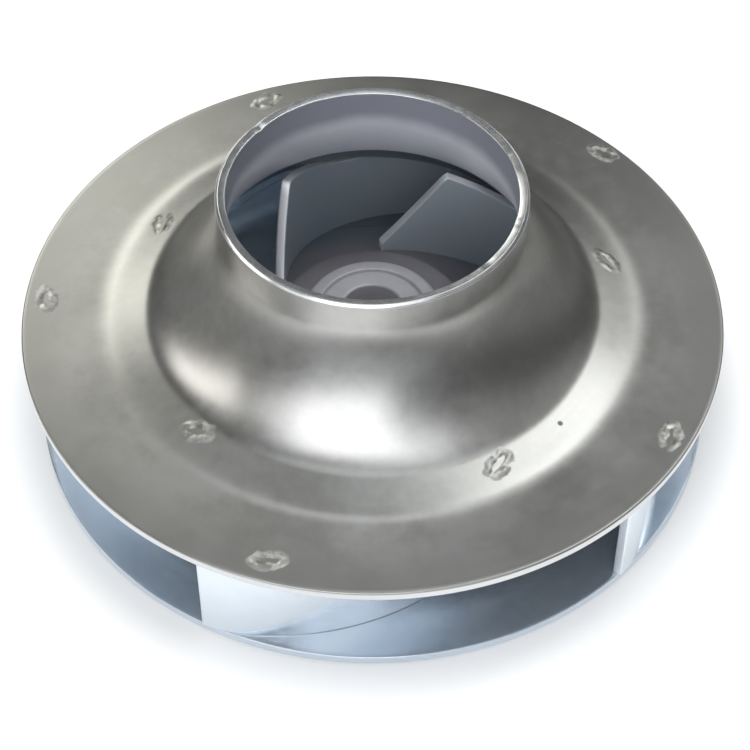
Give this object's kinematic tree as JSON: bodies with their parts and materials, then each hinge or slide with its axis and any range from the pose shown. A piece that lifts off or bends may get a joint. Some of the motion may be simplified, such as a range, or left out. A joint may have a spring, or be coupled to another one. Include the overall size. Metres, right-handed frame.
{
  "type": "closed centrifugal pump impeller",
  "caption": "Closed sheet-steel centrifugal pump impeller with a flared front shroud, a tall inlet neck, backswept vanes and a central hub.",
  "frame": {"origin": "on the rotation axis, in the plane of the back plate's rear face", "axes": "+Z along the rotation axis, towards the inlet neck"},
  "size_m": [0.14, 0.14, 0.056],
  "materials": {
    "shroud_steel": "drawn stainless sheet, satin, with weld marks",
    "plate_steel": "rolled stainless sheet, satin",
    "vane_steel": "rolled stainless sheet, smooth",
    "hub_steel": "turned stainless"
  },
  "bodies": {
    "root": {"front_shroud": "shroud_steel", "back_plate": "plate_steel", "vane_1": "vane_steel", "vane_2": "vane_steel", "vane_3": "vane_steel", "vane_4": "vane_steel", "vane_5": "vane_steel", "hub_sleeve": "hub_steel"}
  },
  "joints": []
}
